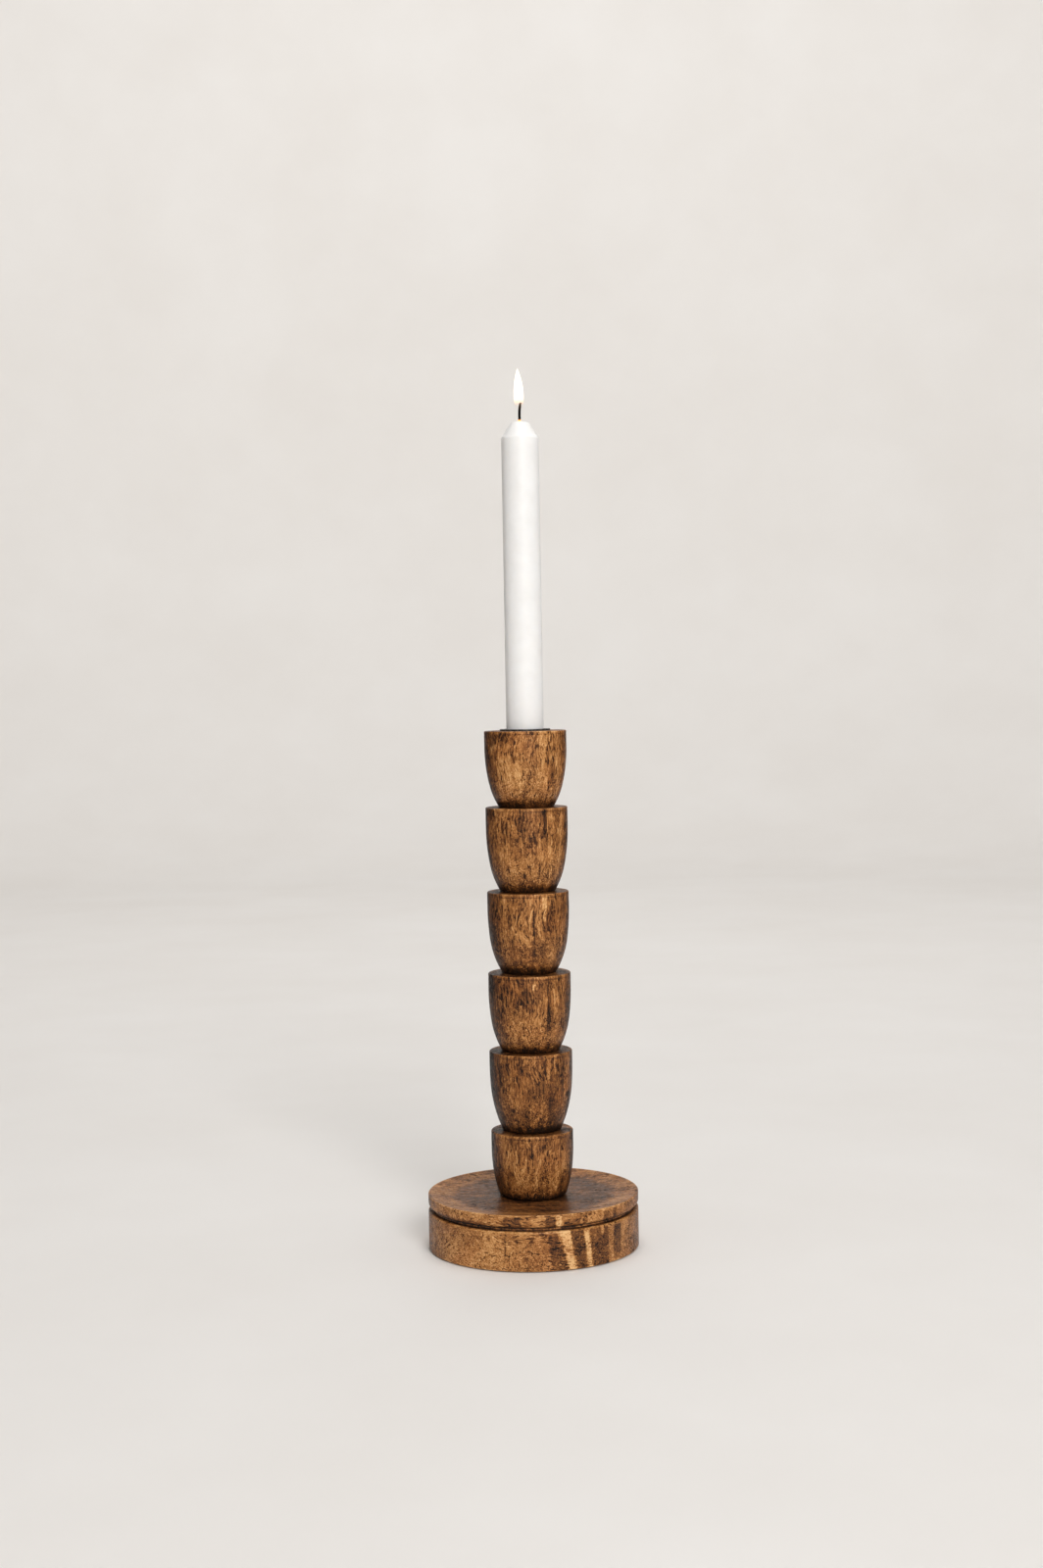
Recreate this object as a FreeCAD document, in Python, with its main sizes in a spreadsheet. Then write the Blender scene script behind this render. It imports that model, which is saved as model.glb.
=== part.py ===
import FreeCAD, Part
import math
import os

import Sketcher
from FreeCAD import Vector

# Turned wooden candlestick with a lift-out iron socket and a dinner candle.
#
# Six cup-shaped beads stand one on another on a grooved, dished base. A threaded rod runs up the middle
# of the stack, with a washer and a nut in a counterbore at each end, and pulls it together. A felt pad
# covers the lower counterbore, and the iron candle socket drops into the top bead over the upper one.
#
# Frame: millimetres, +Z up along the stack, origin at the centre of the felt pad's underside, which is
# where the candlestick stands on the table.

OUT = "parts"

# The driving dimensions, in millimetres (angles in degrees). Every outline below is built from these.
SIZES = {
    # base: a disc with a groove round its side and a dish in its top
    "base_radius": 62.3,
    "base_gap": 0.5,  # the felt holds the wood this far off the table
    "ledge_height": 23.4,  # top of the plain lower band
    "groove_depth": 2.8,
    "groove_width": 1.9,
    "rim_height": 32.8,
    "rim_width": 1.3,
    "floor_height": 30.6,  # flat middle of the dish, on which the beads stand
    "floor_radius": 41.0,
    "base_edge_round": 0.8,
    "ledge_edge_round": 1.2,
    "rim_edge_round": 0.5,
    # beads
    "cup_top_round": 0.8,
    "rod_bore_radius": 4.25,
    # iron socket and the pocket it drops into
    "socket_bore_radius": 11.3,
    "socket_wall": 0.7,
    "socket_depth": 20.0,
    "socket_floor": 0.8,
    "flange_radius": 14.9,
    "flange_thickness": 0.9,
    "pocket_radius": 12.3,
    "pocket_depth": 21.2,
    "top_counterbore_radius": 10.0,
    "top_counterbore_depth": 31.2,
    # rod, nuts and washers (M8)
    "rod_radius": 4.0,
    "rod_past_nut": 1.6,
    "rod_chamfer": 0.7,
    "nut_width": 13.0,  # across the flats
    "nut_height": 6.5,
    "nut_bore_radius": 4.05,
    "nut_chamfer_angle": 30.0,
    "base_washer_radius": 12.0,
    "base_washer_thickness": 2.0,
    "top_washer_radius": 8.0,
    "top_washer_thickness": 1.6,
    "washer_bore_radius": 4.2,
    # underside
    "pad_radius": 50.0,
    "pad_thickness": 2.0,
    "pad_recess_radius": 50.5,
    "base_counterbore_radius": 13.5,
    "base_counterbore_top": 14.0,
    # candle
    "candle_radius": 11.0,
    "candle_length": 200.0,
    "candle_cone": 9.6,
    "candle_tip_radius": 5.3,
    "candle_tip_round": 1.4,
    "candle_foot_height": 21.4,  # the foot tapers a little, from just above the socket's flange
    "candle_foot_radius": 10.7,
    "candle_foot_chamfer": 0.8,
    "wick_bore_radius": 0.9,
    "wick_radius": 0.85,
    "wick_straight": 204.5,
    "wick_bend_radius": 34.0,
    "wick_bend_angle": 12.0,
}


# The beads, from the base up. No two are quite alike, because they are turned by hand. The barrel is the
# depth from the top at which the upright side starts to curve in, with the radius given as curve, and the
# shoulder is the depth at which it starts to turn in faster towards the foot.
CUP_COLUMNS = ("height", "radius", "barrel", "curve", "shoulder", "foot", "foot_round")
CUP_SIZES = (
    (39.0, 24.3, 10.0, 100.0, 22.0, 19.6, 2.2),
    (47.4, 24.55, 7.0, 250.0, 17.5, 17.2, 1.6),
    (46.2, 24.4, 9.2, 136.0, 28.0, 17.0, 1.0),
    (48.1, 24.15, 9.6, 140.0, 28.3, 15.9, 0.9),
    (49.8, 24.2, 12.0, 117.0, 34.2, 16.1, 0.9),
    (44.9, 24.25, 9.7, 95.0, 31.9, 16.2, 0.9),
)
CUPS = len(CUP_SIZES)


def make_sheet(doc):
    """The spreadsheet that holds the driving dimensions, one named cell each."""
    sizes = dict(SIZES)
    for count, row in enumerate(CUP_SIZES, start=1):
        for column, size in zip(CUP_COLUMNS, row):
            sizes[f"cup_{count}_{column}"] = size
    sheet = doc.addObject("Spreadsheet::Sheet", "Sizes")
    for row, (name, size) in enumerate(sizes.items(), start=1):
        sheet.set(f"A{row}", name)
        sheet.set(f"B{row}", str(size))
        sheet.setAlias(f"B{row}", name)
    doc.recompute()
    return sheet


def cell(name):
    """The name of a dimension's cell, as an expression writes it."""
    return f"Sizes.{name}"


def stack_height(below):
    """Expression for the height at which bead number below + 1 stands."""
    return " + ".join([cell("floor_height")] + [cell(f"cup_{n}_height") for n in range(1, below + 1)])


def number(thing, expression):
    """What an expression is worth now, as a plain number."""
    worth = thing.evalExpression(expression)
    return float(getattr(worth, "Value", worth))


def bind(thing, **expressions):
    """Binds properties of a document object to expressions over the sheet."""
    for name, expression in expressions.items():
        thing.setExpression(name, expression)


def raise_to(thing, height):
    """Puts an object's own origin on the stack's axis at a height given as an expression."""
    thing.setExpression("Placement.Base.z", height)


# ---------------------------------------------------------------- sketches


class Outline:
    """A constrained sketch whose edges run corner to corner. Each corner is a pair of expressions."""

    def __init__(self, body, name, plane="XZ_Plane"):
        self.sketch = body.newObject("Sketcher::SketchObject", name)
        face = next(p for p in body.Origin.OriginFeatures if p.Role == plane)
        self.sketch.AttachmentSupport = (face, [""])
        self.sketch.MapMode = "FlatFace"

    def at(self, corner):
        return Vector(number(self.sketch, corner[0]), number(self.sketch, corner[1]), 0)

    def hold(self, edge, end, corner):
        """Fixes one end of an edge at a corner: on an axis, or at a distance bound to the sheet."""
        for axis, kind, expression in ((-2, "DistanceX", corner[0]), (-1, "DistanceY", corner[1])):
            if expression == "0":
                self.sketch.addConstraint(Sketcher.Constraint("PointOnObject", edge, end, axis))
            else:
                self.measure(kind, (-1, 1, edge, end), expression)

    def measure(self, kind, places, expression):
        """Adds a dimension and binds it to an expression."""
        made = self.sketch.addConstraint(Sketcher.Constraint(kind, *places, number(self.sketch, expression)))
        self.sketch.setExpression(f"Constraints[{made}]", expression)

    def polygon(self, corners):
        """Straight edges through every corner and back to the first."""
        spots = [self.at(corner) for corner in corners]
        edges = [
            self.sketch.addGeometry(Part.LineSegment(start, end))
            for start, end in zip(spots, spots[1:] + spots[:1])
        ]
        for edge, after, corner in zip(edges, edges[1:] + edges[:1], corners):
            self.sketch.addConstraint(Sketcher.Constraint("Coincident", edge, 2, after, 1))
            self.hold(edge, 1, corner)
        return edges

    def line(self, start, end):
        return self.sketch.addGeometry(Part.LineSegment(start, end))

    def arc(self, start, middle, end):
        return self.sketch.addGeometry(Part.Arc(start, middle, end))

    def join(self, edge, end, after, start, smooth=False):
        """Makes two edges meet, at a corner or smoothly."""
        kind = "Tangent" if smooth else "Coincident"
        self.sketch.addConstraint(Sketcher.Constraint(kind, edge, end, after, start))

    def circle(self, radius):
        """A circle about the sketch's origin."""
        made = self.sketch.addGeometry(
            Part.Circle(Vector(0, 0, 0), Vector(0, 0, 1), number(self.sketch, radius))
        )
        self.sketch.addConstraint(Sketcher.Constraint("Coincident", made, 3, -1, 1))
        self.measure("Radius", (made,), radius)
        return made


def arc_middle(start, end, centre):
    """The point halfway along the shorter arc from start to end about centre."""
    outward = ((start + end) / 2 - centre).normalize()
    return centre + outward * (start - centre).Length


# ---------------------------------------------------------------- features


def new_body(doc, label):
    body = doc.addObject("PartDesign::Body", label)
    body.Label = label
    return body


def spin(body, outline, name, cut=False):
    """Turns an outline about the sketch's upright axis, adding to the body or cutting it."""
    before = body.Shape.Volume if cut else 0.0
    feature = body.newObject("PartDesign::Groove" if cut else "PartDesign::Revolution", name)
    feature.Profile = outline.sketch
    feature.ReferenceAxis = (outline.sketch, ["V_Axis"])
    feature.Angle = 360.0
    outline.sketch.Visibility = False
    body.Document.recompute()
    if cut and not body.Shape.Volume < before:
        raise RuntimeError(f"{body.Label}: {name} cut nothing")
    return feature


def circle_edges(feature, radius, height):
    """Names of the round edges about the axis with that radius and at that height."""
    found = []
    for index, edge in enumerate(feature.Shape.Edges, start=1):
        curve = edge.Curve
        if not isinstance(curve, Part.Circle):
            continue
        if abs(curve.Radius - radius) < 0.01 and abs(curve.Center.z - height) < 0.01:
            found.append(f"Edge{index}")
    if not found:
        raise RuntimeError(f"{feature.Label}: no round edge of radius {radius} at height {height}")
    return found


def dress(body, kind, name, base, radius, height, size, size_name="Radius"):
    """A fillet or chamfer on the round edge at a radius and height, each given as an expression."""
    edges = circle_edges(base, number(base, radius), number(base, height))
    feature = body.newObject(f"PartDesign::{kind}", name)
    feature.Base = (base, edges)
    feature.setExpression(size_name, size)
    body.Document.recompute()
    return feature


# ---------------------------------------------------------------- turned wood


def base_disc(doc):
    """The base: a plain lower band, a groove, a band with a rounded underside, and a dished top."""
    body = new_body(doc, "base_disc")
    gap, radius, rim = cell("base_gap"), cell("base_radius"), cell("rim_height")
    ledge, floor = cell("ledge_height"), cell("floor_height")
    depth = cell("groove_depth")
    neck = f"{radius} - {depth}"
    roof = f"{ledge} + {cell('groove_width')}"  # underside of the upper band
    rim_inside = f"{radius} - {cell('rim_width')}"
    side = Outline(body, "side")
    corners = [
        ("0", gap),
        (radius, gap),
        (radius, ledge),
        (neck, ledge),
        (neck, roof),
        (radius, f"{roof} + {depth}"),
        (radius, rim),
        (rim_inside, rim),
        (cell("floor_radius"), floor),
        ("0", floor),
    ]
    spots = [side.at(corner) for corner in corners]
    curved = {
        4: Vector(spots[4].x, spots[5].y, 0),  # quarter round under the upper band
        7: dish_centre(spots[7], spots[8]),
    }
    edges = []
    for index, start in enumerate(spots):
        end = spots[(index + 1) % len(spots)]
        if index in curved:
            edges.append(side.arc(start, arc_middle(start, end, curved[index]), end))
        else:
            edges.append(side.line(start, end))
    # An arc that runs clockwise is stored the other way round, so its ends are told by where they lie.
    ends = [first_and_last(side.sketch, edge, start) for edge, start in zip(edges, spots)]
    for index, edge in enumerate(edges):
        after = (index + 1) % len(edges)
        smooth = (index, after) in ((4, 5), (7, 8))
        side.join(edge, ends[index][1], edges[after], ends[after][0], smooth)
    for index, corner in enumerate(corners):
        side.hold(edges[index], ends[index][0], corner)
    turned = spin(body, side, "turned_disc")

    under = Outline(body, "under")
    recess_top = f"{gap} + {cell('pad_thickness')} - {cell('base_gap')}"
    under.polygon(
        [
            ("0", gap),
            (cell("pad_recess_radius"), gap),
            (cell("pad_recess_radius"), recess_top),
            (cell("base_counterbore_radius"), recess_top),
            (cell("base_counterbore_radius"), cell("base_counterbore_top")),
            (cell("rod_bore_radius"), cell("base_counterbore_top")),
            (cell("rod_bore_radius"), floor),
            ("0", floor),
        ]
    )
    bored = spin(body, under, "pad_recess_and_bore", cut=True)
    eased = dress(body, "Fillet", "bottom_edge", bored, radius, gap, cell("base_edge_round"))
    eased = dress(body, "Fillet", "ledge_edge", eased, radius, ledge, cell("ledge_edge_round"))
    eased = dress(body, "Fillet", "rim_outside", eased, radius, rim, cell("rim_edge_round"))
    dress(body, "Fillet", "rim_inside", eased, rim_inside, rim, cell("rim_edge_round"))
    return body


def dish_centre(rim, floor):
    """Centre of the arc that leaves the flat floor level and rises to the rim."""
    run, rise = rim.x - floor.x, rim.y - floor.y
    return Vector(floor.x, floor.y + (run**2 + rise**2) / (2 * rise), 0)


def first_and_last(sketch, edge, start):
    """The point numbers of an edge's first and last ends, where its first end lies at start."""
    near = (sketch.getPoint(edge, 1) - start).Length < 1e-6
    return (1, 2) if near else (2, 1)


def cup(doc, count):
    """Bead number count: an upright barrel that curves in faster and faster to a flat foot."""
    body = new_body(doc, f"cup_{count}")
    height, radius, barrel, curve, shoulder, foot, foot_round = [
        cell(f"cup_{count}_{column}") for column in CUP_COLUMNS
    ]
    bore = cell("rod_bore_radius")
    barrel_end = f"{height} - {barrel}"
    shoulder_height = f"{height} - {shoulder}"
    side = Outline(body, "side")

    # Where the two curves start out, before the sketch solver takes over.
    foot_point = side.at((foot, "0"))
    top_of_curve = side.at((radius, barrel_end))
    upper_radius = number(body, curve)
    upper_centre = top_of_curve - Vector(upper_radius, 0, 0)
    drop = top_of_curve.y - number(body, shoulder_height)
    meeting = upper_centre + Vector(math.sqrt(upper_radius**2 - drop**2), -drop, 0)
    lower_centre = tangent_centre(meeting, upper_centre, foot_point)

    lower = side.arc(foot_point, arc_middle(foot_point, meeting, lower_centre), meeting)
    upper = side.arc(meeting, arc_middle(meeting, top_of_curve, upper_centre), top_of_curve)
    upright = side.line(top_of_curve, side.at((radius, height)))
    top = side.line(side.at((radius, height)), side.at((bore, height)))
    wall = side.line(side.at((bore, height)), side.at((bore, "0")))
    under = side.line(side.at((bore, "0")), foot_point)
    side.join(lower, 2, upper, 1, smooth=True)
    side.join(upper, 2, upright, 1, smooth=True)
    side.join(upright, 2, top, 1)
    side.join(top, 2, wall, 1)
    side.join(wall, 2, under, 1)
    side.join(under, 2, lower, 1)
    side.hold(lower, 1, (foot, "0"))
    side.hold(upright, 1, (radius, barrel_end))
    side.hold(upright, 2, (radius, height))
    side.hold(wall, 1, (bore, height))
    side.hold(wall, 2, (bore, "0"))
    side.measure("Radius", (upper,), curve)
    side.measure("DistanceY", (-1, 1, lower, 2), shoulder_height)
    last = spin(body, side, "turned_cup")

    if count == CUPS:
        last = socket_pocket(body, height)
    last = dress(body, "Fillet", "top_edge", last, radius, height, cell("cup_top_round"))
    dress(body, "Fillet", "foot_edge", last, foot, "0", foot_round)
    raise_to(body, stack_height(count - 1))
    return body


def tangent_centre(meeting, upper_centre, foot_point):
    """Centre of the arc through foot_point that carries on smoothly from the upper arc at meeting."""
    inward = (upper_centre - meeting).normalize()
    chord = foot_point - meeting
    return meeting + inward * (chord.dot(chord) / (2 * chord.dot(inward)))


def socket_pocket(body, height):
    """The stepped hole in the top bead: a pocket for the socket, then a counterbore for the nut."""
    step = Outline(body, "pocket")
    pocket_floor = f"{height} - {cell('pocket_depth')}"
    nut_seat = f"{height} - {cell('top_counterbore_depth')}"
    step.polygon(
        [
            ("0", height),
            (cell("pocket_radius"), height),
            (cell("pocket_radius"), pocket_floor),
            (cell("top_counterbore_radius"), pocket_floor),
            (cell("top_counterbore_radius"), nut_seat),
            ("0", nut_seat),
        ]
    )
    return spin(body, step, "socket_pocket", cut=True)


# ---------------------------------------------------------------- metal


def candle_socket(doc):
    """The iron socket: a plain cup with a flat flange that hangs it on the top bead."""
    body = new_body(doc, "candle_socket")
    bore, wall = cell("socket_bore_radius"), cell("socket_wall")
    outside = f"{bore} + {wall}"
    top = cell("flange_thickness")
    inner_floor = f"0 - {cell('socket_depth')}"
    outer_floor = f"{inner_floor} - {cell('socket_floor')}"
    side = Outline(body, "side")
    side.polygon(
        [
            ("0", outer_floor),
            (outside, outer_floor),
            (outside, "0"),
            (cell("flange_radius"), "0"),
            (cell("flange_radius"), top),
            (bore, top),
            (bore, inner_floor),
            ("0", inner_floor),
        ]
    )
    pressed = spin(body, side, "pressed_cup")
    half = f"{cell('flange_thickness')} * 0.4"
    eased = dress(body, "Fillet", "floor_corner", pressed, outside, outer_floor, wall)
    eased = dress(body, "Fillet", "flange_top", eased, cell("flange_radius"), top, half)
    eased = dress(body, "Fillet", "flange_under", eased, cell("flange_radius"), "0", half)
    dress(body, "Fillet", "mouth", eased, bore, top, half)
    raise_to(body, stack_height(CUPS))
    return body


def tie_rod(doc):
    """The M8 rod through the whole stack, drawn at its outer diameter."""
    body = new_body(doc, "tie_rod")
    section = Outline(body, "section", "XY_Plane")
    section.circle(cell("rod_radius"))
    rod = body.newObject("PartDesign::Pad", "rod")
    rod.Profile = section.sketch
    length = f"({rod_top()}) - ({rod_bottom()})"
    bind(rod, Length=length)
    doc.recompute()
    ends = dress(body, "Chamfer", "lower_end", rod, cell("rod_radius"), "0", cell("rod_chamfer"), "Size")
    dress(body, "Chamfer", "upper_end", ends, cell("rod_radius"), length, cell("rod_chamfer"), "Size")
    raise_to(body, rod_bottom())
    return body


def base_nut_top():
    return f"{cell('base_counterbore_top')} - {cell('base_washer_thickness')}"


def top_washer_seat():
    return f"{stack_height(CUPS)} - {cell('top_counterbore_depth')}"


def rod_bottom():
    return f"{base_nut_top()} - {cell('nut_height')} - {cell('rod_past_nut')}"


def rod_top():
    above = f"{cell('top_washer_thickness')} + {cell('nut_height')} + {cell('rod_past_nut')}"
    return f"{top_washer_seat()} + {above}"


def hex_nut(doc, label, seat):
    """An M8 hexagon nut with both faces chamfered, standing at the height seat."""
    body = new_body(doc, label)
    section = Outline(body, "hexagon", "XY_Plane")
    reach = f"{cell('nut_width')} / sqrt(3)"  # centre to corner
    corners = [(f"{reach} * cos({60 * turn})", f"{reach} * sin({60 * turn})") for turn in range(6)]
    corners[0] = (reach, "0")
    corners[3] = (f"0 - {reach}", "0")
    section.polygon(corners)
    prism = body.newObject("PartDesign::Pad", "prism")
    prism.Profile = section.sketch
    bind(prism, Length=cell("nut_height"))
    doc.recompute()

    flat = f"{cell('nut_width')} / 2"
    fall = f"({reach} - {flat}) * tan({cell('nut_chamfer_angle')})"
    for name, face, inner in (
        ("lower_chamfer", "0", fall),
        ("upper_chamfer", cell("nut_height"), f"{cell('nut_height')} - {fall}"),
    ):
        corner = Outline(body, f"{name}_outline")
        corner.polygon([(flat, face), (f"{reach} + 1", face), (f"{reach} + 1", inner), (reach, inner)])
        spin(body, corner, name, cut=True)

    bore = Outline(body, "bore_outline")
    bore.polygon(
        [
            ("0", "0"),
            (cell("nut_bore_radius"), "0"),
            (cell("nut_bore_radius"), cell("nut_height")),
            ("0", cell("nut_height")),
        ]
    )
    spin(body, bore, "bore", cut=True)
    raise_to(body, seat)
    return body


def washer(doc, label, radius, thickness, seat):
    """A flat washer: a disc with the bore cut out."""
    disc = doc.addObject("Part::Cylinder", f"{label}_disc")
    bind(disc, Radius=radius, Height=thickness)
    hole = doc.addObject("Part::Cylinder", f"{label}_hole")
    bind(hole, Radius=cell("washer_bore_radius"), Height=thickness)
    ring = doc.addObject("Part::Cut", label)
    ring.Label = label
    ring.Base = disc
    ring.Tool = hole
    raise_to(ring, seat)
    return ring


# ---------------------------------------------------------------- felt, wax and cotton


def felt_pad(doc):
    """The felt disc in the base's underside, a little proud of the wood."""
    pad = doc.addObject("Part::Cylinder", "felt_pad")
    pad.Label = "felt_pad"
    bind(pad, Radius=cell("pad_radius"), Height=cell("pad_thickness"))
    return pad


def candle_foot():
    return f"{stack_height(CUPS)} - {cell('socket_depth')}"


def candle_wax(doc):
    """The dinner candle: a tapered foot, a plain shaft, a short blunt cone, and a bore for its wick."""
    body = new_body(doc, "candle_wax")
    radius, length, bore = cell("candle_radius"), cell("candle_length"), cell("wick_bore_radius")
    foot = cell("candle_foot_radius")
    shoulder = f"{length} - {cell('candle_cone')}"
    side = Outline(body, "side")
    side.polygon(
        [
            (bore, "0"),
            (foot, "0"),
            (radius, cell("candle_foot_height")),
            (radius, shoulder),
            (cell("candle_tip_radius"), length),
            (bore, length),
        ]
    )
    cast = spin(body, side, "cast_candle")
    tip = cell("candle_tip_radius")
    eased = dress(body, "Fillet", "tip", cast, tip, length, cell("candle_tip_round"))
    dress(body, "Chamfer", "foot", eased, foot, "0", cell("candle_foot_chamfer"), "Size")
    raise_to(body, candle_foot())
    return body


def wick(doc):
    """The cotton wick: straight up the candle, with its free end bent a little to one side."""
    body = new_body(doc, "wick")
    section = Outline(body, "section", "XY_Plane")
    section.circle(cell("wick_radius"))
    path = Outline(body, "path")
    straight, bend = cell("wick_straight"), cell("wick_bend_radius")
    turn = math.radians(number(body, cell("wick_bend_angle")))
    start = path.at((bend, straight)) - Vector(number(body, bend), 0, 0)
    centre = path.at((bend, straight))
    reach = number(body, bend)
    end = centre + Vector(-reach * math.cos(turn), reach * math.sin(turn), 0)
    run = path.line(Vector(0, 0, 0), start)
    curve = path.arc(start, arc_middle(start, end, centre), end)
    near, far = first_and_last(path.sketch, curve, start)
    path.sketch.addConstraint(Sketcher.Constraint("Coincident", run, 1, -1, 1))
    path.hold(run, 2, ("0", straight))
    path.join(run, 2, curve, near, smooth=True)
    path.measure("Radius", (curve,), bend)
    drop = f"{bend} * sin({cell('wick_bend_angle')})"
    path.measure("DistanceY", (-1, 1, curve, far), f"{straight} + {drop}")
    pipe = body.newObject("PartDesign::AdditivePipe", "braid")
    pipe.Profile = section.sketch
    pipe.Spine = (path.sketch, ["Edge1", "Edge2"])
    raise_to(body, candle_foot())
    return body


# ---------------------------------------------------------------- the whole


def build(doc):
    """Every sub-part of the candlestick, in the order in which it is put together."""
    make_sheet(doc)
    made = [felt_pad(doc), base_disc(doc)]
    made += [cup(doc, count) for count in range(1, CUPS + 1)]
    made += [
        washer(
            doc, "base_washer", cell("base_washer_radius"), cell("base_washer_thickness"), base_nut_top()
        ),
        hex_nut(doc, "base_nut", f"{base_nut_top()} - {cell('nut_height')}"),
        tie_rod(doc),
        washer(
            doc, "top_washer", cell("top_washer_radius"), cell("top_washer_thickness"), top_washer_seat()
        ),
        hex_nut(doc, "top_nut", f"{top_washer_seat()} + {cell('top_washer_thickness')}"),
        candle_socket(doc),
        candle_wax(doc),
        wick(doc),
    ]
    doc.recompute()
    return made


def check(doc, made):
    """Stops the build at a failed object or a shape that isn't one good closed solid."""
    for thing in doc.Objects:
        if {"Invalid", "Error"} & set(thing.State):
            raise RuntimeError(f"{thing.Label} failed: {thing.State}")
    for thing in made:
        shape = thing.Shape
        if shape.isNull() or not shape.isValid() or len(shape.Solids) != 1 or shape.Volume <= 0:
            raise RuntimeError(f"{thing.Label} isn't one good solid")


def export(made):
    """Writes each sub-part to parts/LABEL.step and prints its volume and box."""
    os.makedirs(OUT, exist_ok=True)
    for thing in made:
        box = thing.Shape.BoundBox
        thing.Shape.exportStep(os.path.join(OUT, f"{thing.Label}.step"))
        print(
            f"{thing.Label}: {thing.Shape.Volume / 1000:.2f} cm3, "
            f"z {box.ZMin:.2f} to {box.ZMax:.2f}, radius {box.XMax:.2f}"
        )


doc = FreeCAD.newDocument("Candlestick")
parts = build(doc)
check(doc, parts)
export(parts)
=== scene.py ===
"""Looks of the turned wooden candlestick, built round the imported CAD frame.

Every turned piece takes its outline from the CAD node that it stands for, is turned again as a fine mesh
with the small faults of handwork in it, and gets a procedural material. Units are metres, unless a name
or a comment says mm.
"""

import math
import random

import bpy
import numpy as np
from mathutils import Matrix, Vector, noise


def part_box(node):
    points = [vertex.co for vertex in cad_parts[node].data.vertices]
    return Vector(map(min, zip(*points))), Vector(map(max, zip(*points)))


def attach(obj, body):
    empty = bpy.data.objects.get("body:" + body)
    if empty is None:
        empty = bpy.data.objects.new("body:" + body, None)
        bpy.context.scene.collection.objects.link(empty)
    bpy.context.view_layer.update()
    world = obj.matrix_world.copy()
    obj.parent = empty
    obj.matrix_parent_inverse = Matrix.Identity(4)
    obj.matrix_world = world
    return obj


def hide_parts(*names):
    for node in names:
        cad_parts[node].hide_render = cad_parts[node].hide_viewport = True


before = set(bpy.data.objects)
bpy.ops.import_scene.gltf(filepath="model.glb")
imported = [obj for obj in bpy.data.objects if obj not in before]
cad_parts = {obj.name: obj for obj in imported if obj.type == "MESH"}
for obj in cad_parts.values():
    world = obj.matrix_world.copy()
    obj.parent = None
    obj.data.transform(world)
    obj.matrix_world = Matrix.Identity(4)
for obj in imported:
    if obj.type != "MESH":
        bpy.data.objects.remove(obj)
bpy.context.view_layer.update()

MM = 0.001
CUPS = ("cup_1", "cup_2", "cup_3", "cup_4", "cup_5", "cup_6")
STAND, SOCKET, CANDLE = "stand", "socket", "candle"


# ---------------------------------------------------------------- outlines of the turned CAD nodes

CORNER = math.radians(40)  # a sharper turn than this in an outline is a real corner
LONG_RUN = 3.0  # a run this much longer than the one beside it is a straight
ON_SEAM = 0.002 * MM  # how far off the half plane y = 0 the seam's points may lie


def cad_outline(node):
    """The outline of a turned CAD node as an (n, 2) array of radius and height, and True if it is closed.

    It is walked along the mesh's seam, where the faces of a turned solid begin and end, anticlockwise in
    the radius-height plane.
    """
    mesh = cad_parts[node].data
    seam = {
        v.index: (round(v.co.x, 6), round(v.co.z, 6))
        for v in mesh.vertices
        if abs(v.co.y) < ON_SEAM and v.co.x > -ON_SEAM
    }
    beside = {spot: set() for spot in seam.values()}
    for edge in mesh.edges:
        a, b = (seam.get(v) for v in edge.vertices)
        if a and b and a != b:
            beside[a].add(b)
            beside[b].add(a)
    ends = sorted(spot for spot, others in beside.items() if len(others) == 1)
    walk = [ends[0] if ends else min(beside)]
    while len(walk) < len(beside):
        walk.append(min(spot for spot in beside[walk[-1]] if spot not in walk))
    outline = np.array(walk)
    area = np.sum(outline[:, 0] * np.roll(outline[:, 1], -1) - np.roll(outline[:, 0], -1) * outline[:, 1])
    return (outline if area > 0 else outline[::-1]), not ends


def smooth_outline(outline, closed, step):
    """Points about one step apart along an outline, on curves through it that keep its corners.

    step is a function of radius and height.
    """
    count = len(outline)
    last = count if closed else count - 1
    runs = [outline[(i + 1) % count] - outline[i] for i in range(last)]
    lengths = [np.linalg.norm(run) for run in runs]
    ways = [run / length for run, length in zip(runs, lengths)]

    def tangents(i):
        """The directions in which the curve comes into and leaves outline point i."""
        if not closed and i in (0, count - 1):
            way = ways[0] if i == 0 else ways[-1]
            return way, way
        before, after = (i - 1) % last, i % last
        turn = math.acos(np.clip(np.dot(ways[before], ways[after]), -1, 1))
        if turn > CORNER:
            return ways[before], ways[after]
        if lengths[before] > LONG_RUN * lengths[after]:
            way = ways[before]
        elif lengths[after] > LONG_RUN * lengths[before]:
            way = ways[after]
        else:
            way = ways[before] * lengths[after] + ways[after] * lengths[before]
            way = way / np.linalg.norm(way)
        return way, way

    made = []
    for i in range(last):
        start, end, length = outline[i], outline[(i + 1) % count], lengths[i]
        leave, arrive = tangents(i)[1] * length, tangents((i + 1) % count)[0] * length
        pieces = max(1, math.ceil(length / step(*((start + end) / 2))))
        for t in np.arange(pieces) / pieces:
            made.append(
                (2 * t**3 - 3 * t**2 + 1) * start
                + (t**3 - 2 * t**2 + t) * leave
                + (3 * t**2 - 2 * t**3) * end
                + (t**3 - t**2) * arrive
            )
    if not closed:
        made.append(outline[-1])
    return np.array(made)


def outline_normals(outline, closed):
    """Unit normals that point out of the solid, for an outline walked anticlockwise."""
    if closed:
        way = np.roll(outline, -1, 0) - np.roll(outline, 1, 0)
    else:
        way = np.gradient(outline, axis=0)
    way /= np.linalg.norm(way, axis=1)[:, None]
    return np.column_stack([way[:, 1], -way[:, 0]])


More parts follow.
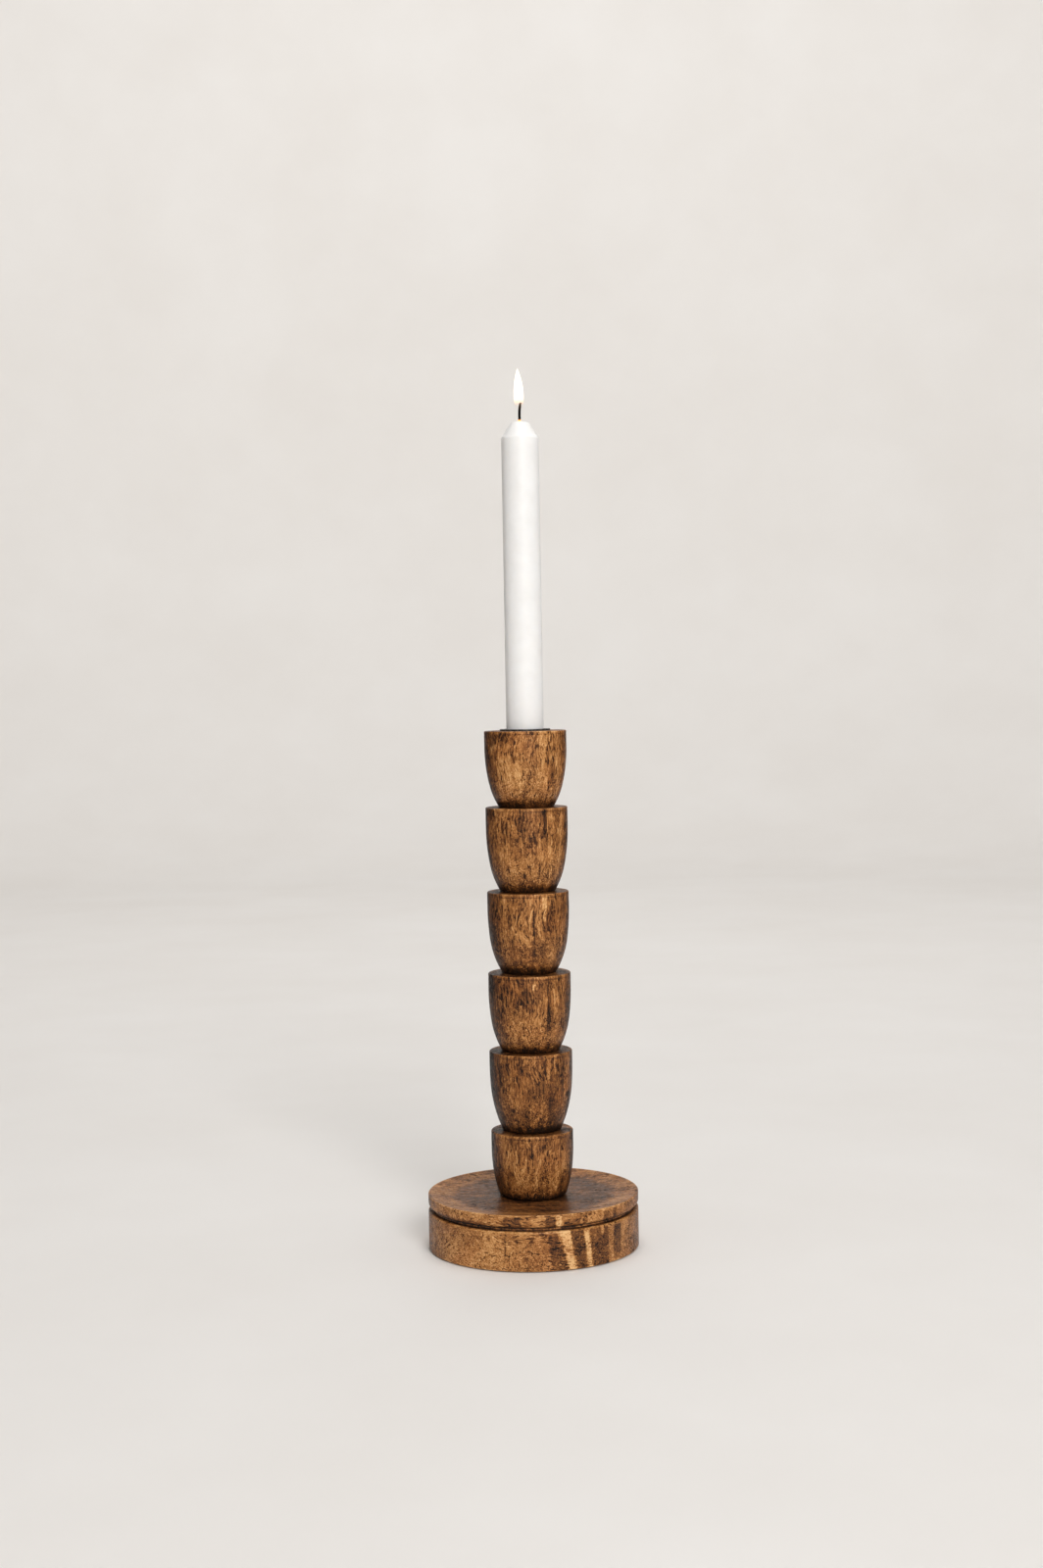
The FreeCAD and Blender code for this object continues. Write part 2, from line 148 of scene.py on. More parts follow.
def outline_edges(outline, closed, reach):
    """How strongly the outline turns within reach of each point.

    It is above 0 at an outer edge and below 0 in a hollow corner. 1 is a right angle.
    """
    looped = np.vstack([outline, outline[:1] if closed else outline[-1:]])
    steps = np.linalg.norm(np.diff(looped, axis=0), axis=1)
    along = np.concatenate([[0], np.cumsum(steps)])
    total = along[-1]

    def at(distance):
        distance = distance % total if closed else np.clip(distance, 0, total)
        return np.column_stack([np.interp(distance, along, looped[:, k]) for k in (0, 1)])

    here = along[:-1]
    before, after = outline - at(here - reach), at(here + reach) - outline
    cross = before[:, 0] * after[:, 1] - before[:, 1] * after[:, 0]
    dot = (before * after).sum(1)
    return np.arctan2(cross, dot) / (math.pi / 2)


# ---------------------------------------------------------------- meshes


def finish_mesh(name, points, faces):
    """An object of its own with smooth faces, and with hard edges where the surface really turns."""
    mesh = bpy.data.meshes.new(name)
    mesh.from_pydata([tuple(p) for p in points], [], faces)
    mesh.validate()
    mesh.shade_smooth()
    mesh.set_sharp_from_angle(angle=CORNER)
    made = bpy.data.objects.new(name, mesh)
    bpy.context.scene.collection.objects.link(made)
    return made


def paint(piece, name, values):
    """Stores one number per vertex, for the piece's material to read."""
    layer = piece.data.attributes.new(name, "FLOAT", "POINT")
    layer.data.foreach_set("value", np.asarray(values, dtype=np.float32))


def lathe(name, outline, closed, segments, carve=None, marks=None):
    """Turns an outline about the Z axis.

    carve(angle, radius, height) is how deep below the outline the surface lies there. marks maps the name
    of a painted layer to a function of angle, radius and height. An open outline is closed on the axis.
    """
    normals = outline_normals(outline, closed)
    angles = np.arange(segments) * 2 * math.pi / segments
    rings = len(outline)
    points = np.empty((rings, segments, 3))
    places = np.empty((rings, segments, 3))
    for i, ((radius, height), (out, up)) in enumerate(zip(outline, normals)):
        for k, angle in enumerate(angles):
            depth = carve(angle, radius, height) if carve else 0.0
            r, z = radius - out * depth, height - up * depth
            points[i, k] = (r * math.cos(angle), r * math.sin(angle), z)
            places[i, k] = (angle, radius, height)
    spots = points.reshape(-1, 3).tolist()
    places = places.reshape(-1, 3).tolist()
    faces = []
    for i in range(rings if closed else rings - 1):
        j = (i + 1) % rings
        for k in range(segments):
            m = (k + 1) % segments
            faces.append((i * segments + k, i * segments + m, j * segments + m, j * segments + k))
    if not closed:
        for ring, flip in ((0, True), (rings - 1, False)):
            middle = len(spots)
            spots.append([0.0, 0.0, float(outline[ring][1])])
            places.append([0.0, 0.0, float(outline[ring][1])])
            for k in range(segments):
                a, b = ring * segments + k, ring * segments + (k + 1) % segments
                faces.append((middle, b, a) if flip else (middle, a, b))
    made = finish_mesh(name, spots, faces)
    for layer, value in (marks or {}).items():
        paint(made, layer, [value(*place) for place in places])
    return made


def ring_values(outline, values):
    """A function of angle, radius and height that gives an outline point's value back."""
    found = {(round(r, 7), round(z, 7)): v for (r, z), v in zip(outline, values)}
    return lambda angle, radius, height: found.get((round(radius, 7), round(height, 7)), 0.0)


# ---------------------------------------------------------------- material nodes


class Paint:
    """A material's node tree, with one short call per node."""

    def __init__(self, name):
        self.material = bpy.data.materials.new(name)
        self.material.use_nodes = True
        self.tree = self.material.node_tree
        self.tree.nodes.clear()
        self.output = self.tree.nodes.new("ShaderNodeOutputMaterial")

    def node(self, kind, inputs=(), **settings):
        made = self.tree.nodes.new(kind)
        for name, value in settings.items():
            setattr(made, name, value)
        for place, value in dict(inputs).items():
            self.feed(made.inputs[place], value)
        return made

    def feed(self, socket, value):
        if isinstance(value, bpy.types.NodeSocket):
            self.tree.links.new(value, socket)
        elif isinstance(value, tuple) and len(value) == 3 and socket.type == "RGBA":
            socket.default_value = (*value, 1.0)
        else:
            socket.default_value = value

    def math(self, operation, a, b=0.0):
        return self.node("ShaderNodeMath", {0: a, 1: b}, operation=operation).outputs[0]

    def vector(self, operation, a, b):
        return self.node("ShaderNodeVectorMath", {0: a, 1: b}, operation=operation).outputs[0]

    def add(self, a, b):
        return self.math("ADD", a, b)

    def times(self, a, b):
        return self.math("MULTIPLY", a, b)

    def blend(self, factor, a, b, how="MIX"):
        made = self.node("ShaderNodeMix", {0: factor, 6: a, 7: b}, data_type="RGBA", blend_type=how)
        return made.outputs[2]

    def rise(self, value, low, high, to_low=0.0, to_high=1.0):
        """Rises smoothly from to_low to to_high as value goes from low to high."""
        return self.node(
            "ShaderNodeMapRange",
            {0: value, 1: low, 2: high, 3: to_low, 4: to_high},
            interpolation_type="SMOOTHSTEP",
        ).outputs[0]

    def place(self, shift=(0, 0, 0), turn=(0, 0, 0), scale=1000.0):
        """The object's own coordinates in mm, turned and shifted."""
        spot = self.node("ShaderNodeTexCoord").outputs["Object"]
        scaled = self.node("ShaderNodeMapping", {0: spot, 3: (scale, scale, scale)}).outputs[0]
        return self.node("ShaderNodeMapping", {0: scaled, 1: shift, 2: turn}).outputs[0]

    def stretch(self, spot, scale):
        return self.vector("MULTIPLY", spot, scale)

    def noise(self, spot, scale=1.0, detail=2.0, roughness=0.5, distortion=0.0):
        return self.node(
            "ShaderNodeTexNoise",
            {"Vector": spot, "Scale": scale, "Detail": detail, "Roughness": roughness,
             "Distortion": distortion},
        ).outputs["Fac"]

    def wander(self, spot, scale, amount):
        """The place, pushed about by a slow noise."""
        drift = self.node("ShaderNodeTexNoise", {"Vector": spot, "Scale": scale, "Detail": 1.0})
        centred = self.vector("SUBTRACT", drift.outputs["Color"], (0.5, 0.5, 0.5))
        return self.vector("ADD", spot, self.vector("MULTIPLY", centred, (amount,) * 3))

    def ramp(self, value, stops):
        made = self.node("ShaderNodeValToRGB", {0: value})
        ramp = made.color_ramp
        while len(ramp.elements) < len(stops):
            ramp.elements.new(0.5)
        for element, (position, color) in zip(ramp.elements, stops):
            element.position = position
            element.color = (*color, 1.0)
        return made.outputs[0]

    def layer(self, name):
        """A number painted on the mesh."""
        made = self.node("ShaderNodeAttribute", attribute_name=name, attribute_type="GEOMETRY")
        return made.outputs["Fac"]

    def bump(self, height, distance, strength=1.0, under=None):
        inputs = {"Height": height, "Distance": distance, "Strength": strength}
        if under is not None:
            inputs["Normal"] = under
        return self.node("ShaderNodeBump", inputs).outputs[0]

    def surface(self, **inputs):
        """Ends the tree in one Principled shader. An input's name has _ for each space."""
        named = {name.replace("_", " "): value for name, value in inputs.items()}
        shader = self.node("ShaderNodeBsdfPrincipled", named)
        self.tree.links.new(shader.outputs[0], self.output.inputs[0])
        return self.material


# ---------------------------------------------------------------- marks on the wood

FRONT = -math.pi / 2  # the angle that faces the camera
FADE = 3.0  # mm over which a streak's painted number goes from its side to nothing


def right_of_front(angle):
    """An angle about the Z axis as degrees to the right of the front, from -180 to 180."""
    return (math.degrees(angle - FRONT) + 180) % 360 - 180


class Scar:
    """A crack, or a pit if it is short.

    The angle is in degrees to the right of the front, low and high are shares of the piece's height, and
    the width and the sway to each side are in mm.
    """

    def __init__(self, angle, low, high, width=0.4, wave=0.6):
        self.angle, self.low, self.high = angle, low, high
        self.width, self.wave = width, wave

    def mask(self, p, here, foot, height):
        """1 in the scar and 0 away from it. foot and height place the shares, in mm."""
        way = FRONT + math.radians(self.angle)
        parts = p.node("ShaderNodeSeparateXYZ", {0: here})
        x, y, level = (parts.outputs[axis] for axis in "XYZ")
        across = p.add(p.times(x, -math.sin(way)), p.times(y, math.cos(way)))
        outward = p.add(p.times(x, math.cos(way)), p.times(y, math.sin(way)))
        slow = p.place((self.angle, 0.0, 0.0), scale=140.0)
        sway = p.times(p.add(p.noise(slow, 1.0, 2.0), -0.5), self.wave * 4)
        middle = foot + (self.low + self.high) / 2 * height
        half = (self.high - self.low) / 2 * height
        along = p.times(p.add(level, -middle), 1 / half)
        open_half = p.times(p.add(1.0, p.times(p.times(along, along), -1.0)), self.width / 2)
        beyond = p.add(p.math("ABSOLUTE", p.add(across, sway)), p.times(open_half, -1.0))
        return p.times(p.rise(beyond, -0.05, 0.30, 1.0, 0.0), p.rise(outward, 4.0, 6.0))


class Streak:
    """A streak of another tone.

    It runs from a top middle and half width to a bottom middle and half width, all in degrees to the right
    of the front, between two shares of the piece's height.
    """

    def __init__(self, top, bottom, low=0.0, high=1.0):
        self.top, self.bottom = top, bottom
        self.low, self.high = low, high

    def cover(self, angle, radius, share, height):
        """0.5 on the streak's side, 1 well inside it, 0 well outside it. radius and height are in mm."""
        down = min(max((self.high - share) / (self.high - self.low), 0.0), 1.0)
        middle = self.top[0] + (self.bottom[0] - self.top[0]) * down
        half = self.top[1] + (self.bottom[1] - self.top[1]) * down
        off = abs((right_of_front(angle) - middle + 180) % 360 - 180)
        inside = min(
            math.radians(half - off) * radius, (share - self.low) * height, (self.high - share) * height
        )
        return max(0.0, min(1.0, 0.5 + inside / FADE / 2))


def strongest(streaks, *place):
    """The greatest number that any of the streaks has at a place."""
    return max((streak.cover(*place) for streak in streaks), default=0.0)


# ---------------------------------------------------------------- wood

WOOD_TONES = (
    (0.00, (0.008, 0.004, 0.002)),
    (0.18, (0.032, 0.012, 0.004)),
    (0.38, (0.120, 0.042, 0.011)),
    (0.56, (0.290, 0.112, 0.029)),
    (0.76, (0.530, 0.255, 0.084)),
    (1.00, (0.760, 0.470, 0.215)),
)


RING_STEP = 4.6  # mm between the year rings


def wood(name, seed, box, low, high, scars, tone, pith, grain_turn=(0, 0, 0), calm=1.0, streak_depth=0.16,
         varnish=(0.10, 0.3)):
    """Stained hardwood under varnish. The fibres run along Z before grain_turn.

    box is the piece's lowest and highest corner. low and high are the ends in mm of the height over which
    the figure goes from speckled to straight. pith is a point in mm on the axis of the year rings. calm
    below 1 weakens the grain. varnish is the coat's weight and roughness. The shader reads these layers
    painted on the mesh: soak (darker where stain sank in, and painted shade), edge (above 0 on outer
    edges, lighter there, partly worn through the stain and partly painted highlight; below 0 in hollow
    corners, darker there as painted shade), and pale and dark (streaks, whose sides lie at 0.5).
    """
    draw = random.Random(seed)
    shift = tuple(draw.uniform(-400, 400) for _ in range(3))
    p = Paint(name)
    here = p.place()
    level_mm = p.node("ShaderNodeSeparateXYZ", {0: here}).outputs["Z"]
    spot = p.place(shift, grain_turn)
    bent = p.wander(spot, 0.035, 9.0)
    bent = p.wander(bent, 0.22, 2.0)

    bands = p.noise(p.stretch(bent, (0.20, 0.20, 0.012)), 1.0, 4.0, 0.62)
    veins = p.noise(p.stretch(bent, (1.0, 1.0, 0.075)), 1.0, 3.0, 0.62)
    mottle = p.noise(p.stretch(bent, (0.075, 0.075, 0.05)), 1.0, 3.0, 0.6)
    curl = p.noise(p.stretch(bent, (0.80, 0.80, 0.60)), 1.0, 3.0, 0.74, 1.8)
    curly = p.rise(p.add(level_mm, p.times(p.add(mottle, -0.5), 60.0)), low, high, 1.0, 0.45)
    straight = p.rise(curly, 0.4, 1.0, 1.0, 0.45)
    away = p.vector("SUBTRACT", here, pith)
    away = p.wander(p.stretch(away, (1.0, 1.0, 0.15)), 0.05, 7.0)
    radius = p.node("ShaderNodeVectorMath", {0: away}, operation="LENGTH").outputs["Value"]
    rings = p.math("SINE", p.times(radius, 2 * math.pi / RING_STEP))

    level = p.add(0.545 + tone, p.times(p.add(bands, -0.5), 0.64 * calm))
    level = p.add(level, p.times(p.times(p.add(veins, -0.5), 1.05 * calm), straight))
    level = p.add(level, p.times(p.add(mottle, -0.5), 0.62))
    level = p.add(level, p.times(p.times(p.add(curl, -0.5), 1.9), curly))
    level = p.add(level, p.times(rings, 0.020))

    # Short dark pores, closer together in some places than in others, and closest near the top.
    crowd = p.noise(p.stretch(bent, (0.13, 0.13, 0.05)), 1.0, 2.0)
    pores = p.noise(p.stretch(bent, (1.0, 1.0, 0.22)), 1.0, 1.5, 0.5)
    more = p.rise(level_mm, high - 4.0, high + 14.0, 0.0, 0.035)
    pore = p.rise(p.add(p.add(pores, more), p.times(p.add(crowd, -0.5), 0.40)), 0.59, 0.65)
    fine = p.noise(p.stretch(bent, (2.2, 2.2, 0.35)), 1.0, 1.0, 0.5)
    fine = p.rise(fine, 0.58, 0.70)

    ragged = p.noise(here, 0.42, 3.0, 0.7)
    scar = 0.0
    for mark in scars:
        scar = p.math("MAXIMUM", scar, mark.mask(p, here, box[0].z / MM, (box[1].z - box[0].z) / MM))
    # Darker where stain sank in, and painted shade: at the beads' feet and top faces, over the dish, in
    # the groove and at the left and right edges.
    stain_and_shade = p.rise(p.add(p.layer("stain_and_shade"), p.times(p.add(ragged, -0.5), 0.55)), 0.20, 1.0)
    pale = p.rise(p.add(p.layer("pale"), p.times(p.add(ragged, -0.5), 0.45)), 0.44, 0.58)
    dark = p.rise(p.add(p.layer("dark"), p.times(p.add(ragged, -0.5), 0.6)), 0.40, 0.62)
    edge = p.layer("edge")
    # Lighter on outer edges: worn through the stain, and painted highlight.
    rubbed_and_highlit = p.times(p.rise(edge, 0.20, 0.70), p.rise(ragged, 0.36, 0.56))
    # Darker in hollow corners: painted shade.
    corner_shade = p.rise(p.times(edge, -1.0), 0.1, 0.6)

    level = p.add(level, p.times(rubbed_and_highlit, 0.16))
    level = p.add(level, p.times(stain_and_shade, -0.46))
    level = p.add(level, p.times(corner_shade, -0.30))
    level = p.add(level, p.times(pore, -0.28))
    level = p.add(level, p.times(fine, -0.06))
    level = p.add(level, p.times(pale, 0.28))
    level = p.add(level, p.times(dark, -streak_depth))
    level = p.add(level, p.times(scar, -0.27))
    color = p.ramp(level, WOOD_TONES)
    redder = p.noise(here, 0.06, 2.0)
    color = p.blend(p.times(p.rise(redder, 0.45, 0.7), 0.3), color, (1.0, 0.80, 0.72), "MULTIPLY")

    relief = p.add(p.times(veins, 0.35), p.times(pore, -0.8))
    relief = p.add(relief, p.times(curl, 0.5))
    relief = p.add(relief, p.times(scar, -1.5))
    dents = p.bump(p.noise(here, 0.35, 2.0), 0.35 * MM, 0.5)
    normal = p.bump(relief, 0.16 * MM, 0.8, dents)
    gloss = p.rise(p.noise(here, 0.35, 3.0), 0.3, 0.7, 0.38, 0.54)
    gloss = p.add(gloss, p.times(p.math("MAXIMUM", pore, scar), 0.25))
    return p.surface(
        Base_Color=color,
        Roughness=gloss,
        Normal=normal,
        Specular_IOR_Level=0.15,
        Coat_Weight=varnish[0],
        Coat_Roughness=varnish[1],
    )


# ---------------------------------------------------------------- the beads

CUP_SEGMENTS = 256
WOBBLE = 0.12 * MM  # how far a hand-turned side strays inside its true outline
TOOL_MARK = 0.012 * MM  # depth of the turning tool's rings
TOOL_STEP = 2.3 * MM  # height of one of them
BORE_SIDE = 14 * MM  # nearer the axis than this, a bead's surface is hidden

# Each bead's own seed, tone, pith and marks.
CUP_LOOKS = {
    "cup_6": dict(
        seed=61, tone=0.10, pith=(40.0, -64.0, 0.0),
        scars=(
            Scar(-40, 0.30, 0.50, 0.3), Scar(45, 0.30, 0.42, 0.5), Scar(38, 0.24, 0.30, 0.7, 0.2),
            Scar(41, 0.62, 0.67, 0.9, 0.2), Scar(43, 0.74, 0.79, 0.6, 0.3), Scar(50, 0.45, 0.52, 0.7, 0.3),
        ),
        dark=(Streak((-33, 5), (-36, 3), 0.80, 1.0), Streak((38, 7), (46, 10), 0.25, 0.62)),
    ),
    "cup_5": dict(
        seed=52, tone=0.045, pith=(-30.0, 58.0, 0.0),
        scars=(
            Scar(24, 0.66, 0.98, 0.22, 0.8), Scar(29, 0.60, 0.88, 0.2, 1.0), Scar(19, 0.20, 0.36, 0.4),
        ),
        dark=(Streak((27, 3.0), (25, 2), 0.66, 1.0), Streak((20, 3), (19, 3), 0.18, 0.36)),
    ),
    "cup_4": dict(
        seed=43, tone=-0.005, pith=(25.0, -50.0, 0.0),
        scars=(Scar(8, 0.45, 0.86, 0.2), Scar(52, 0.14, 0.5, 0.25)),
        dark=(Streak((8, 1.8), (8, 2.6), 0.25, 0.80),),
        pale=(Streak((23, 3.5), (24, 2), 0.66, 0.97),),
    ),
    "cup_3": dict(
        seed=34, tone=-0.01, pith=(8.0, -42.0, 0.0),
        scars=(
            Scar(26.5, 0.25, 0.98, 0.35, 0.8), Scar(-4, 0.62, 0.92, 0.3, 0.3), Scar(30, 0.40, 0.58, 0.4),
        ),
        dark=(Streak((27, 2), (27, 3), 0.30, 0.95),),
        pale=(Streak((7.5, 3), (7.5, 3), 0.84, 0.91),),
    ),
    "cup_2": dict(
        seed=25, tone=-0.055, pith=(60.0, 35.0, 0.0),
        scars=(
            Scar(17.5, 0.77, 0.82, 1.2, 0.2), Scar(17.5, 0.48, 0.80, 0.3, 0.4),
            Scar(-11.5, 0.52, 0.55, 0.8), Scar(-13, 0.80, 0.84, 1.0, 0.4), Scar(13, 0.20, 0.23, 0.7),
        ),
        dark=(
            Streak((-12, 4), (-12, 3), 0.76, 0.88), Streak((38, 12), (42, 16), 0.0, 0.75),
            Streak((20, 3), (18, 2), 0.70, 0.95),
        ),
    ),
    "cup_1": dict(
        seed=16, tone=0.0, pith=(-55.0, -45.0, 0.0),
        scars=(
            Scar(-9, 0.08, 0.15, 0.8, 0.2), Scar(4, 0.10, 0.14, 0.7, 0.2), Scar(-14, 0.02, 0.05, 0.8, 0.2),
            Scar(0, 0.5, 0.95, 0.25),
        ),
        dark=(Streak((-34, 4), (-40, 10), 0.0, 0.45), Streak((50, 5), (46, 8), 0.0, 0.35)),
    ),
}


def make_cup(node, look):
    """One bead, turned again from its CAD outline."""
    low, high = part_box(node)
    height = high.z - low.z

    outline, closed = cad_outline(node)
    outline = smooth_outline(
        outline, closed, lambda radius, level: 3.0 * MM if radius < BORE_SIDE else 0.62 * MM
    )
    edges = ring_values(outline, outline_edges(outline, closed, 0.9 * MM))

    def read(streaks):
        def value(angle, radius, level):
            if radius < BORE_SIDE:
                return 0.0
            return strongest(streaks, angle, radius / MM, (level - low.z) / height, height / MM)

        return value

    def carve(angle, radius, level):
        if radius < BORE_SIDE:
            return 0.0
        spot = (math.cos(angle) * 1.1, math.sin(angle) * 1.1, level * 45 + look["seed"])
        slow = noise.noise(Vector(spot))
        cut = math.sin((level - low.z) * 2 * math.pi / TOOL_STEP + look["seed"])
        return (0.5 + 0.5 * slow) * WOBBLE + (1 + cut) * TOOL_MARK

    def stain_and_shade(angle, radius, level):
        """Darker towards the foot and over the lower part: stain, and painted shade where the bead curves
        in to the next. Painted shade on the top face and at the left and right as seen from the front. A
        dark line under the top edge.
        """
        # Stain, and painted shade where the bead curves in towards the next one.
        foot = 1.15 - (level - low.z) / (0.16 * height)
        lower = 0.60 - (level - low.z) / (0.9 * height)
        # Painted shade on the top face, under the next bead's foot.
        flat = 0.50 if high.z - level < 0.4 * MM and radius < 22.6 * MM else 0.0
        line = 0.62 - abs(high.z - level - 1.9 * MM) / (1.4 * MM) if radius > 23 * MM else 0.0
        # Painted shade at the left and right edges as seen from the front.
        right = right_of_front(angle)
        if right < 0:
            side = 0.85 * (1.0 - abs(right + 80) / 72)
        else:
            side = 0.66 * (1.0 - abs(right - 78) / 46)
        return max(0.0, foot, lower, flat, line, side)

    layers = {
        "stain_and_shade": stain_and_shade,
        "edge": edges,
        "pale": read(look.get("pale", ())),
        "dark": read(look["dark"]),
    }
    made = lathe(f"bead_{node[-1]}", outline, closed, CUP_SEGMENTS, carve, layers)
    middle = (low.z + height * 0.35) / MM
    grain = wood(
        f"wood_{node}", look["seed"], (low, high), middle, middle + 12.0, look["scars"], look["tone"],
        look["pith"],
    )
    made.data.materials.append(grain)
    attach(made, STAND)
    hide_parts(node)


# ---------------------------------------------------------------- the base

BASE_SEGMENTS = 448
BASE_SEED, BASE_TONE, BASE_PITH = 7, 0.09, (18.0, -90.0, 0.0)
LEDGE = 23.4 * MM  # height of the lower band's top edge
LIP = 25.3 * MM  # height of the upper band's bottom edge
LEDGE_ROUND, LIP_ROUND = 0.9 * MM, 2.6 * MM  # how high each of them is worn round
CLOSE = 0.05 * MM  # outline points nearer each other than this become one
HIDDEN_UNDER = 4 * MM  # the underside and the bores lie below this height or inside BASE_BORES
BASE_BORES = 16 * MM

BASE_PALE = (
    # lower band
    Streak((16.3, 3.2), (20.8, 1.5), 0.0, 0.70), Streak((28.6, 1.5), (31.2, 1.3), 0.0, 0.68),
    Streak((39.2, 1.2), (39.2, 0.8), 0.53, 0.68), Streak((-151.0, 2.0), (-158.0, 3.0), 0.0, 0.70),
    Streak((118.0, 2.0), (113.0, 4.0), 0.0, 0.70), Streak((101.0, 1.0), (100.0, 1.6), 0.1, 0.70),
    # upper band
    Streak((13.3, 1.6), (13.3, 1.4), 0.74, 1.0), Streak((-148.0, 2.0), (-149.0, 2.0), 0.74, 1.0),
)
BASE_DARK = (
    Streak((9.8, 2.5), (13.8, 4.6), 0.0, 0.66), Streak((23.3, 3.9), (26.2, 3.0), 0.0, 0.70),
    Streak((37.0, 6.0), (38.4, 5.6), 0.0, 0.68), Streak((51.0, 3.0), (50.0, 3.0), 0.05, 0.66),
    Streak((109.0, 5.0), (105.0, 3.6), 0.0, 0.70), Streak((127.0, 5.0), (123.0, 4.0), 0.0, 0.70),
    Streak((-143.0, 5.0), (-147.0, 5.0), 0.0, 0.70), Streak((-165.0, 5.0), (-168.0, 4.0), 0.0, 0.70),
    Streak((-11.6, 4.4), (-11.6, 4.8), 0.74, 0.97), Streak((8.7, 2.6), (8.9, 2.8), 0.75, 0.97),
    Streak((20.5, 4.2), (20.5, 5.6), 0.75, 0.90), Streak((28.0, 1.0), (28.0, 1.2), 0.78, 0.96),
    Streak((42.0, 2.0), (42.0, 2.0), 0.76, 0.95), Streak((48.5, 1.4), (48.5, 1.6), 0.76, 0.95),
    Streak((-46.0, 18.0), (-46.0, 22.0), 0.74, 0.84), Streak((-141.0, 4.0), (-141.0, 4.0), 0.75, 1.0),
)
BASE_SCARS = (
    Scar(-15.5, 0.22, 0.52, 0.35, 0.6), Scar(-13.0, 0.10, 0.34, 0.35, 0.8),
    Scar(-8.0, 0.08, 0.20, 0.3, 0.6), Scar(-1.0, 0.30, 0.34, 0.8, 0.3),
    Scar(1.5, 0.31, 0.34, 0.7, 0.3), Scar(24.5, 0.22, 0.30, 0.3, 0.4),
)


def make_base():
    """The base, turned again from its CAD outline, with softer edges along the groove."""
    low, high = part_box("base_disc")
    height = high.z - low.z

    def hidden(radius, level):
        return level < HIDDEN_UNDER and radius < 60 * MM or radius < BASE_BORES

    def rounding(level):
        """How deep the worn edges of the groove lie inside the CAD's sharper ones."""
        for edge, reach in ((LEDGE, -LEDGE_ROUND), (LIP, LIP_ROUND)):
            part = 1.0 - (level - edge) / reach
            if 0.0 < part <= 1.0:
                return abs(reach) * (1.0 - math.sqrt(1.0 - part**2))
        return 0.0

    outline, closed = cad_outline("base_disc")
    outline = smooth_outline(
        outline, closed, lambda radius, level: 4.0 * MM if hidden(radius, level) else 0.6 * MM
    )
    worn = [(min(radius, high.x - rounding(level)), level) for radius, level in outline]
    pairs = zip(worn, worn[-1:] + worn)
    outline = np.array([spot for spot, last in pairs if math.dist(spot, last) > CLOSE])
    edges = ring_values(outline, outline_edges(outline, closed, 1.0 * MM))

    def on_side(radius, level):
        return radius > 59 * MM and level < 32 * MM

    def read(streaks):
        def value(angle, radius, level):
            if not on_side(radius, level):
                return 0.0
            return strongest(streaks, angle, radius / MM, (level - low.z) / height, height / MM)

        return value

    def carve(angle, radius, level):
        if hidden(radius, level):
            return 0.0
        spot = (math.cos(angle) * 1.4, math.sin(angle) * 1.4, level * 40 + radius * 20)
        slow = noise.noise(Vector(spot))
        return (0.5 + 0.5 * slow) * WOBBLE

    def stain_and_shade(angle, radius, level):
        """Painted shade over the dish, darkest round the lowest bead's foot, in the groove, and at the
        left and right as seen from the front.
        """
        if hidden(radius, level):
            return 0.0
        # Painted shade over the dish's hollow, darkest inside 44 mm and round the lowest bead's foot.
        if level > 30 * MM and radius < 60.4 * MM:
            foot = 1.0 - abs(radius - 18 * MM) / (3.5 * MM)
            ring = 0.67 - min(max(radius - 44 * MM, 0.0) / (6 * MM), 1.0) * 0.28
            return max(ring, foot)
        # Painted shade in the groove.
        if radius < 60.6 * MM and level < 26 * MM:
            return 0.5
        # Painted shade at the left and right edges as seen from the front.
        return max(0.0, 0.62 * (1.0 - abs(abs(right_of_front(angle)) - 82) / 46))

    layers = {
        "stain_and_shade": stain_and_shade,
        "edge": edges,
        "pale": read(BASE_PALE),
        "dark": read(BASE_DARK),
    }
    made = lathe("base", outline, closed, BASE_SEGMENTS, carve, layers)
    across = (0, math.pi / 2, math.radians(12))  # the disc is cut along the board, so its fibres lie flat
    grain = wood(
        "wood_base", BASE_SEED, (low, high), 2.0, 38.0, BASE_SCARS, BASE_TONE, BASE_PITH, across, calm=0.6,
        streak_depth=0.25, varnish=(0.14, 0.20),
    )
    made.data.materials.append(grain)
    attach(made, STAND)
    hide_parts("base_disc")


# ---------------------------------------------------------------- metal


def zinc(name, pitch=None):
    """Zinc-plated steel. pitch, in mm, gives it the look of a thread about the Z axis."""
    p = Paint(name)
    spot = p.place()
    cloud = p.noise(spot, 0.5, 3.0, 0.6)
    color = p.ramp(cloud, ((0.3, (0.42, 0.42, 0.40)), (0.7, (0.66, 0.66, 0.62))))
    normal = p.bump(p.noise(spot, 3.0, 2.0), 0.02 * MM)
    if pitch:
        parts = p.node("ShaderNodeSeparateXYZ", {0: spot})
        around = p.math("ARCTAN2", parts.outputs["Y"], parts.outputs["X"])
        thread = p.math("SINE", p.add(p.times(parts.outputs["Z"], 2 * math.pi / pitch), around))
        normal = p.bump(thread, 0.3 * MM, 1.0, normal)
    return p.surface(
        Base_Color=color, Metallic=1.0, Roughness=p.rise(cloud, 0.3, 0.7, 0.28, 0.45), Normal=normal
    )


